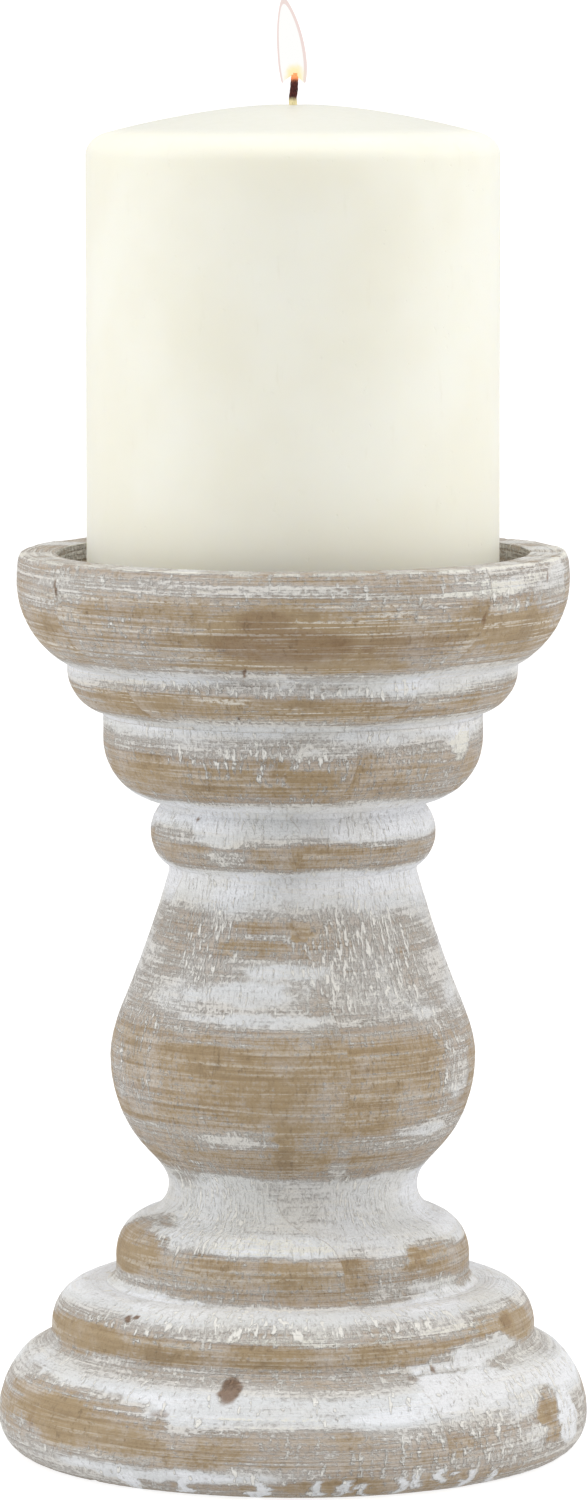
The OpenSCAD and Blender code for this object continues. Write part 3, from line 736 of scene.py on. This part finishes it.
def cotton(name):
    """The wick: pale where it is soaked with wax, charred above, glowing at its tip."""
    n = Nodes(name)
    at = n.place()
    xyz = n.add("ShaderNodeSeparateXYZ")
    n.put(xyz.inputs[0], at)
    z = xyz.outputs[2]
    strand = n.noise(n.vector("MULTIPLY", at, (4, 4, 1.3)), 4, 0.7)
    height = n.total(z, (strand, 0.9))
    color = n.mix(n.ramp(strand, 0.35, 0.65), srgb(42, 12, 14), srgb(98, 38, 28))
    color = n.mix(n.ramp(height, WICK_TOP - 4.9, WICK_TOP - 3.9, 1, 0), color, srgb(250, 236, 184))
    color = n.mix(n.ramp(height, WICK_TOP - 1.3, WICK_TOP - 0.5), color, srgb(232, 140, 92))
    n.put(n.bsdf.inputs["Emission Color"], srgb(255, 150, 92))
    n.put(n.bsdf.inputs["Emission Strength"], n.ramp(height, WICK_TOP - 1.7, WICK_TOP - 0.5, 0, 0.75))
    return n.done(color, 0.85, n.bump(strand, 0.0003, 1.0))


def flame_light(name, tone, strength):
    """The flame's own light: a dark surface that shines, yellower close to the wick's tip."""
    n = Nodes(name)
    away = n.vector("DISTANCE", n.place(), (0.3, 0, WICK_TOP - 0.3))
    away = n.total(away, (n.noise(n.place(), 2, 0.5, 0.8), 1.2))
    color = n.mix(n.ramp(away, 0.8, 2.2, 1, 0), srgb(*tone), srgb(255, 243, 192))
    n.put(n.bsdf.inputs["Emission Color"], color)
    return n.done(srgb(0, 0, 0), 1.0, Specular_IOR_Level=0.0, Emission_Strength=strength)


# ---------------------------------------------------------------- the wooden sections

def section(part, points, seen, turns, closed, relief, turn, joint, seed, lines):
    """Turns a section, saws it into its three boards and gives each board its own wood.

    turn is the direction that the glue lines face, and joint is their distance from the axis."""
    whole = lathe(part, points, seen, turns, closed, relief)
    boards = (("front", joint, None), ("centre", -joint, joint), ("rear", None, -joint))
    for i, (side, low, high) in enumerate(boards):
        name = f"{part}_{side}_wood"
        material = whitewashed(name, seed + 9 * i, (turn, joint), lines, warm=0.05 * (i % 2))
        finish_piece(sawn(whole, turn, low, high, name), name, "candlestick", material,
                     [f"{part}_{side}_board"])
    bpy.data.meshes.remove(whole)


# turns is the number of points round a section
section("base", *base_outline(), turns=640, closed=True,
        relief=worn(BASE_STOPS, 0.22, 0.8, 101, BASE_SPOTS, BASE_STAINS, BASE_CREAMS, BASE_COMBS),
        turn=STEM_TURN, joint=BASE_JOINT, seed=3, lines=(0.5, 0.35))
section("stem", *stem_outline(), turns=440, closed=False,
        relief=worn(STEM_STOPS, 0.26, 0.9, 202, STEM_SPOTS, STEM_STAINS, STEM_CREAMS, STEM_COMBS),
        turn=STEM_TURN, joint=STEM_JOINT, seed=40, lines=(0.5, 0.35))
section("cup", *cup_outline(), turns=600, closed=True,
        relief=worn(CUP_STOPS, 0.24, 0.7, 303, CUP_SPOTS, CUP_STAINS_AND_SHADE, CUP_CREAMS_AND_HIGHLIGHT, CUP_COMBS),
        turn=CUP_TURN, joint=CUP_JOINT, seed=80, lines=(0.85, 0.85))


# ---------------------------------------------------------------- felt, hardware

def felt_disc():
    """The felt pad, with a soft, slightly uneven edge and a matted face."""
    edge = FELT_R - 0.35

    def matted(angle, run, radius, height):
        return 0.05 * cloud(angle, run, 2.4, 1.6, 7, 3) - 0.05, {}

    points, seen = outline([
        (line((0, 0.02), (edge, 0.02)), 1.1),
        (arc((edge, 0.5), 0.32, 0.48, -90, 90, 8), 0.2),
        (line((edge, 0.98), (0, 0.98)), 2.5)])
    piece = finish_piece(lathe("felt_pad", points, seen, 180, False, matted), "felt_pad", "candlestick",
                         felt("felt"), ["felt_disc"])


felt_disc()
plated = steel("zinc_plate", (205, 203, 196), 3.0)
tinned = steel("tin_plate", (214, 213, 210), 1.2)
for node, material in (("base_screw", plated), ("base_washer", plated), ("cup_screw", plated),
                       ("wick_tab", tinned)):
    frame["nodes"][node].data.materials.clear()
    frame["nodes"][node].data.materials.append(material)


# ---------------------------------------------------------------- the candle

def candle_wax():
    """The pillar: straight side, soft shoulder, shallow crown, and the bore for its wick."""
    shoulder, crown = WAX_TOP - 8.4, WAX_TOP - 4.7
    inner = WAX_R - 3.4
    bore, neck, tab = 0.76, 1.5, 7.5
    tab_top, neck_top = 142.2, 145.2
    foot, foot_z = 34.4, FLOOR_Z + 0.6
    dimple, bore_top = 2.4, WAX_TOP - 0.9

    def poured(angle, run, radius, height):
        lift = 0.05 * cloud(angle, run, 70, 40, 11, 2) + 0.012 * cloud(angle, run, 6, 5, 12, 3)
        return lift - 0.05 * np.clip(lattice(angle, run, 7, 6, 13) - 0.93, 0, 0.07) * 14, {}

    points, seen = outline([
        (line((bore, neck_top), (neck, neck_top), (neck, tab_top), (tab, tab_top), (tab, FLOOR_Z),
              (foot, FLOOR_Z)), COARSE),
        (line((foot, FLOOR_Z), (WAX_R, foot_z), (WAX_R, shoulder)), 1.0),
        (bend((WAX_R, shoulder), (WAX_R, shoulder + 1.8), (WAX_R - 1.6, crown - 0.5), (inner, crown)), 0.4),
        (bend((inner, crown), (inner * 0.7, crown + 2.5), (inner * 0.32, WAX_TOP), (dimple, WAX_TOP)), 0.8),
        (bend((dimple, WAX_TOP), (1.5, WAX_TOP), (1.1, WAX_TOP - 0.3), (bore, bore_top)), 0.3),
        (line((bore, bore_top), (bore, neck_top)), COARSE)])
    finish_piece(lathe("pillar_wax", points, seen, 360, True, poured), "pillar_wax", "candle",
                 wax("ivory_wax"), ["candle_wax"])


def tube_faces(rows, turns):
    """The faces of an open tube of so many rings, with so many points round each."""
    faces = []
    for i in range(rows - 1):
        low, high = i * turns, (i + 1) * turns
        faces += [(low + j, low + (j + 1) % turns, high + (j + 1) % turns, high + j) for j in range(turns)]
    return faces


def candle_wick():
    """Three twisted strands, straight through the wax and curling over where they have burnt."""
    radius, lobes, twist = 0.66, 3, 0.55
    rows, turns = 420, 30
    low = 142.3
    z = np.linspace(low, WICK_TOP, rows)[:, None]
    phi = np.linspace(0, 2 * math.pi, turns, endpoint=False)[None, :]
    burnt = np.clip((z - WAX_TOP) / (WICK_TOP - WAX_TOP), 0, 1)
    r = radius * (1 + 0.13 * np.cos(lobes * (phi - twist * z))) * (1 - 0.22 * burnt ** 3)
    r = r + 0.05 * burnt * np.sin(7 * phi + 5 * z)
    lean = 0.34 * burnt ** 1.4 + 0.05 * np.sin(2.4 * z) * burnt
    co = np.stack([r * np.cos(phi) + lean, r * np.sin(phi) - 0.1 * burnt, z + 0 * phi], 2) * MM
    verts = co.reshape(-1, 3).tolist()
    faces = tube_faces(rows, turns)
    faces.append(tuple(range(turns))[::-1])
    faces.append(tuple(range((rows - 1) * turns, rows * turns)))
    mesh = bpy.data.meshes.new("braided_wick")
    mesh.from_pydata(verts, [], faces)
    finish_piece(mesh, "braided_wick", "candle", cotton("cotton"), ["candle_wick"])


def flame_skin(name, wide, deep, shift, material):
    """A skin of the flame: a thin leaning leaf behind the wick's tip, with a notch for it in its foot.

    wide and deep scale its two widths, and shift moves it to the right, in mm."""
    rows, turns = 72, 48
    foot, tip = WICK_TOP - 2.1, WICK_TOP + 12.9
    widest, radius, back = 0.27, 2.26, 0.75
    t = np.linspace(0, 1, rows)[:, None]
    phi = np.linspace(0, 2 * math.pi, turns, endpoint=False)[None, :]
    above = np.clip((t - widest) / (1 - widest), 0, 1)
    below = np.clip((widest - t) / widest, 0, 1)
    r = radius * (1 - above ** 2) ** 0.75 * (1 - 0.2 * below ** 2) * np.clip(t / 0.03, 0, 1) ** 0.5
    lean = 0.05 - 1.75 * t ** 1.6
    notch = 1.9 * (1 - np.clip(t / 0.2, 0, 1)) ** 2 * np.clip(1 - (r * np.cos(phi) / 1.7) ** 2, 0, 1)
    z = foot + (tip - foot) * t + notch
    co = np.stack([wide * r * np.cos(phi) + lean + shift, deep * r * np.sin(phi) + back * deep, z], 2) * MM
    mesh = bpy.data.meshes.new(name)
    mesh.from_pydata(co.reshape(-1, 3).tolist(), [], tube_faces(rows, turns))
    work = bmesh.new()
    work.from_mesh(mesh)
    bmesh.ops.remove_doubles(work, verts=work.verts[:], dist=1e-7)
    bmesh.ops.recalc_face_normals(work, faces=work.faces[:])
    work.to_mesh(mesh)
    work.free()
    finish_piece(mesh, name, "candle", material)


candle_wax()
candle_wick()
flame_skin("flame_core", 1.0, 0.36, 0.0, flame_light("flame_core", (255, 255, 253), 1.0))
flame_skin("flame_edge", 1.07, 0.22, 0.06, flame_light("flame_edge", (248, 230, 225), 0.93))


# ---------------------------------------------------------------- studio

def floor():
    """A wide pale floor that the light washes out, and that is clear from below, to show the underside."""
    reach, under_felt = 40.0, 0.0001
    shine, shine_seen = 0.45, 0.36
    n = Nodes("pale_floor")
    tone = n.noise(n.place(), 2, 0.5, 0.002)
    in_view = n.add("ShaderNodeLightPath").outputs["Is Camera Ray"]
    n.put(n.bsdf.inputs["Emission Color"], srgb(255, 255, 255))
    n.put(n.bsdf.inputs["Emission Strength"], n.math("MULTIPLY_ADD", in_view, shine_seen, shine))
    pale = n.mix(n.ramp(tone, 0.3, 0.7), srgb(168, 168, 168), srgb(164, 164, 164))
    n.done(pale, 0.9, Specular_IOR_Level=0.1)
    below = n.add("ShaderNodeMixShader")
    n.put(below.inputs[0], n.add("ShaderNodeNewGeometry").outputs["Backfacing"])
    n.put(below.inputs[1], n.bsdf.outputs[0])
    n.put(below.inputs[2], n.add("ShaderNodeBsdfTransparent").outputs[0])
    n.put(n.tree.nodes["Material Output"].inputs["Surface"], below.outputs[0])
    mesh = bpy.data.meshes.new("floor")
    corners = [(-reach, -reach, 0), (reach, -reach, 0), (reach, reach, 0), (-reach, reach, 0)]
    mesh.from_pydata(corners, [], [(0, 1, 2, 3)])
    mesh.materials.append(n.material)
    plane = bpy.data.objects.new("floor", mesh)
    bpy.context.scene.collection.objects.link(plane)
    plane.location.z = -under_felt


def world():
    """White all round for the camera. Its light is dimmer from the front and brighter from above."""
    sky = bpy.data.worlds.new("studio")
    bpy.context.scene.world = sky
    sky.use_nodes = True
    tree = sky.node_tree
    tree.nodes.clear()
    where = tree.nodes.new("ShaderNodeTexCoord")
    xyz = tree.nodes.new("ShaderNodeSeparateXYZ")
    tree.links.new(where.outputs["Generated"], xyz.inputs[0])
    parts = []
    for axis, ends in (("Y", (-1.0, -0.25, 0.40, 0.66)), ("Z", (0.1, 1.0, 0.0, 0.34))):
        part = tree.nodes.new("ShaderNodeMapRange")
        part.interpolation_type = "SMOOTHSTEP"
        for key, value in zip(("From Min", "From Max", "To Min", "To Max"), ends):
            part.inputs[key].default_value = value
        tree.links.new(xyz.outputs[axis], part.inputs["Value"])
        parts.append(part.outputs[0])
    brightness = tree.nodes.new("ShaderNodeMath")
    for i in (0, 1):
        tree.links.new(parts[i], brightness.inputs[i])
    light = tree.nodes.new("ShaderNodeBackground")
    light.inputs["Color"].default_value = (1.0, 0.995, 0.985, 1)
    tree.links.new(brightness.outputs[0], light.inputs["Strength"])
    white = tree.nodes.new("ShaderNodeBackground")
    white.inputs["Color"].default_value = (1, 1, 1, 1)
    white.inputs["Strength"].default_value = 1.05
    path = tree.nodes.new("ShaderNodeLightPath")
    chosen = tree.nodes.new("ShaderNodeMixShader")
    tree.links.new(path.outputs["Is Camera Ray"], chosen.inputs[0])
    tree.links.new(light.outputs[0], chosen.inputs[1])
    tree.links.new(white.outputs[0], chosen.inputs[2])
    out = tree.nodes.new("ShaderNodeOutputWorld")
    tree.links.new(chosen.outputs[0], out.inputs[0])


def softbox(name, place, size, power):
    """A square soft light that looks at the candlestick's middle."""
    lamp = bpy.data.lights.new(name, "AREA")
    lamp.shape = "SQUARE"
    lamp.size = size
    lamp.energy = power
    thing = bpy.data.objects.new(name, lamp)
    thing.location = place
    aim = bpy.data.objects.new(name + "_aim", None)
    aim.location = (0, 0, 0.12)
    bpy.context.scene.collection.objects.link(aim)
    bpy.context.scene.collection.objects.link(thing)
    track = thing.constraints.new("TRACK_TO")
    track.target = aim
    track.track_axis = "TRACK_NEGATIVE_Z"
    track.up_axis = "UP_Y"


def camera():
    """Looks along +Y and down a little, from 1.3 m, with a long lens."""
    place, down = (0.00017, -1.2955, 0.2602), 0.108
    lens = bpy.data.cameras.new("camera")
    lens.lens = 183.8
    lens.sensor_width = 36.0
    lens.clip_end = 200
    thing = bpy.data.objects.new("camera", lens)
    thing.location = place
    thing.rotation_euler = (math.pi / 2 - down, 0, 0)
    bpy.context.scene.collection.objects.link(thing)
    bpy.context.scene.camera = thing


floor()
world()
softbox("left_box", (-1.3, -0.3, 0.7), size=0.9, power=6.0)
softbox("right_box", (1.3, -0.3, 0.7), size=0.9, power=6.0)
softbox("top_box", (0.0, -0.2, 1.6), size=1.0, power=4.0)
camera()
bpy.context.scene.view_settings.view_transform = "Standard"
